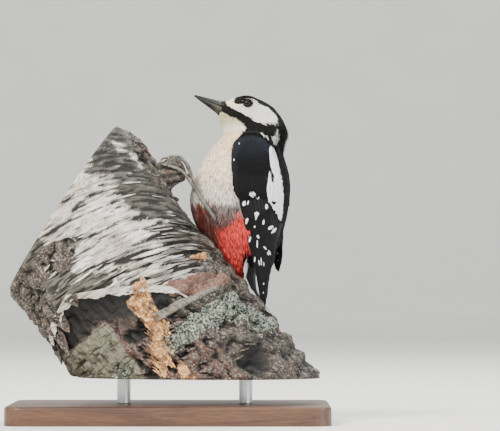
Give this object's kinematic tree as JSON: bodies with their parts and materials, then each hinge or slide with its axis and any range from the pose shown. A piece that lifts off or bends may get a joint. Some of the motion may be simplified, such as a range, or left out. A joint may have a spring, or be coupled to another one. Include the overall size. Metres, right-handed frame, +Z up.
{
  "type": "great spotted woodpecker model",
  "caption": "Still, life-size great spotted woodpecker clinging to a short cut length of birch trunk on a plain flat display stand.",
  "frame": {"origin": "centre of the display stand's underside", "axes": "+Z up, the stand's long side along X; the bird's bill points towards -X and its left side faces -Y"},
  "size_m": [0.2366, 0.152, 0.2432],
  "materials": {
    "plumage": "soft contour feathers, white, buff, black and red",
    "flight_feathers": "satin black vanes with white spots",
    "horn": "satin keratin",
    "eye": "wet gloss",
    "scaly_skin": "matte scales",
    "bark": "papery birch bark, torn in places",
    "stand_wood": "satin varnish",
    "stand_steel": "brushed"
  },
  "bodies": {
    "root": {"head": "plumage", "neck": "plumage", "trunk": "plumage", "left_thigh": "plumage", "right_thigh": "plumage", "left_wing": "flight_feathers", "right_wing": "flight_feathers", "tail": "flight_feathers", "upper_bill": "horn", "lower_bill": "horn", "left_eye": "eye", "right_eye": "eye", "left_foot": "scaly_skin", "right_foot": "scaly_skin", "perch_trunk": "bark", "stand_base": "stand_wood", "stand_rod_left": "stand_steel", "stand_rod_right": "stand_steel", "left_inner_toe_claw": "horn", "left_middle_toe_claw": "horn", "left_outer_toe_claw": "horn", "left_hind_toe_claw": "horn", "right_inner_toe_claw": "horn", "right_middle_toe_claw": "horn", "right_outer_toe_claw": "horn", "right_hind_toe_claw": "horn"}
  },
  "joints": []
}
